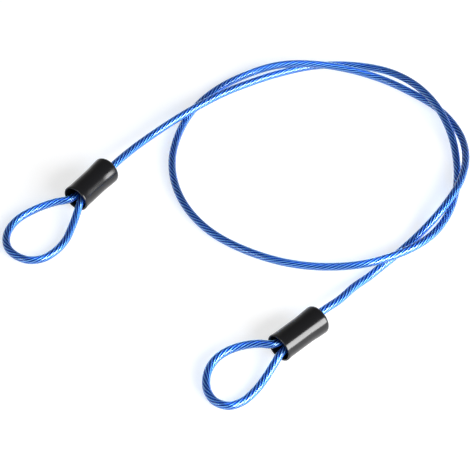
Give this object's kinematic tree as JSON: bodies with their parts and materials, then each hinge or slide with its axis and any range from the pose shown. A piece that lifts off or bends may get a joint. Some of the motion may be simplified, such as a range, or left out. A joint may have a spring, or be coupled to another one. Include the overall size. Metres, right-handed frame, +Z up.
{
  "type": "looped security cable",
  "caption": "Looped security cable lying in a loose coil: blue-sheathed wire rope with a crimped eye and a black vinyl cap at each end, for a padlock to join.",
  "frame": {"origin": "on the floor, below the middle of the bounding box", "axes": "+Z up from the floor the cable lies on; the coil's plane is XY; end A lies towards -X, end B towards -Y"},
  "size_m": [0.2413, 0.2503, 0.0149],
  "materials": {
    "blue_sheath": "clear blue, glossy",
    "rope_steel": "galvanised wire",
    "cap_vinyl": "soft black vinyl, satin gloss",
    "ferrule_aluminium": "pressed, dull"
  },
  "bodies": {
    "coil": {"coil_sheath": "blue_sheath", "coil_rope": "rope_steel"},
    "end_a": {"cap_a": "cap_vinyl", "ferrule_a": "ferrule_aluminium", "eye_sheath_a": "blue_sheath", "eye_rope_a": "rope_steel", "tail_sheath_a": "blue_sheath", "tail_rope_a": "rope_steel"},
    "end_b": {"cap_b": "cap_vinyl", "ferrule_b": "ferrule_aluminium", "eye_sheath_b": "blue_sheath", "eye_rope_b": "rope_steel", "tail_sheath_b": "blue_sheath", "tail_rope_b": "rope_steel"}
  },
  "joints": [
    {"name": "end_a_bend", "type": "hinge", "parent": "coil", "child": "end_a", "pos_m": [-0.0466, 0.0608, 0.00581], "axis": [0, 0, 1], "range_deg": [-30, 30], "stiffness_Nm_per_rad": 0.1, "deforming": ["tail_sheath_a", "tail_rope_a"]},
    {"name": "end_b_bend", "type": "hinge", "parent": "coil", "child": "end_b", "pos_m": [0.0548, -0.05, 0.00391], "axis": [0, 0, 1], "range_deg": [-30, 30], "stiffness_Nm_per_rad": 0.1, "deforming": ["tail_sheath_b", "tail_rope_b"]}
  ]
}
